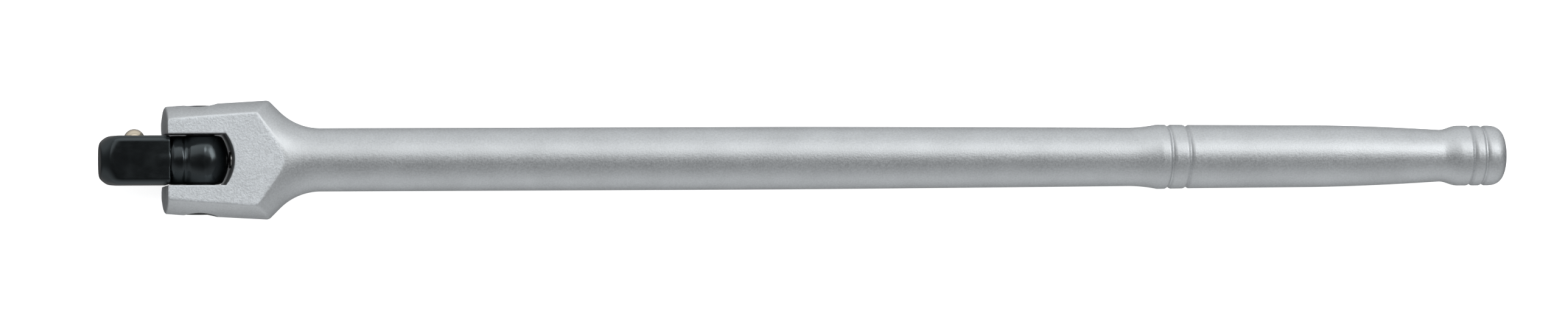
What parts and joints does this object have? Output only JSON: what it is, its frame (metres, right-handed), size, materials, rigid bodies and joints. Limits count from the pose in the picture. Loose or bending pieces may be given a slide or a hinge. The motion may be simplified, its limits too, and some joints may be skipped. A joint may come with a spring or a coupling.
{
  "type": "breaker bar",
  "caption": "Flex-head breaker bar: a square drive head with a detent ball swivels on a cross pin in a flat-sided yoke, at the end of a round bar with a turned grip.",
  "frame": {"origin": "centre of the drive square's end face", "axes": "+X along the bar from the drive square to the grip, +Y along the pivot pin towards the detent ball's side, +Z normal to the yoke's flats"},
  "size_m": [0.375, 0.031, 0.0184],
  "materials": {
    "satin_chrome": "satin, bead blasted under the plating",
    "black_oxide": "glossy black oxide",
    "pin_steel": "dark satin",
    "ball_steel": "polished",
    "spring_steel": "drawn wire",
    "plunger_steel": "ground"
  },
  "bodies": {
    "bar": {"handle_bar": "satin_chrome", "pivot_pin": "pin_steel", "friction_spring": "spring_steel"},
    "head": {"drive_head": "black_oxide", "detent_spring": "spring_steel"},
    "ball": {"detent_ball": "ball_steel"},
    "plunger": {"friction_plunger": "plunger_steel"}
  },
  "joints": [
    {"name": "head_swivel", "type": "hinge", "parent": "bar", "child": "head", "pos_m": [0.0263, 0, 0], "axis": [0, 1, 0], "range_deg": [-90, 90]},
    {"name": "ball_press", "type": "slide", "parent": "head", "child": "ball", "axis": [0, -1, 0], "range_m": [0, 0.0018], "stiffness_N_per_m": 2500, "springref_m": -0.001, "deforming": ["detent_spring"]},
    {"name": "plunger_press", "type": "slide", "parent": "bar", "child": "plunger", "axis": [1, 0, 0], "range_m": [0, 0.0008], "stiffness_N_per_m": 12000, "springref_m": -0.001, "deforming": ["friction_spring"]}
  ]
}
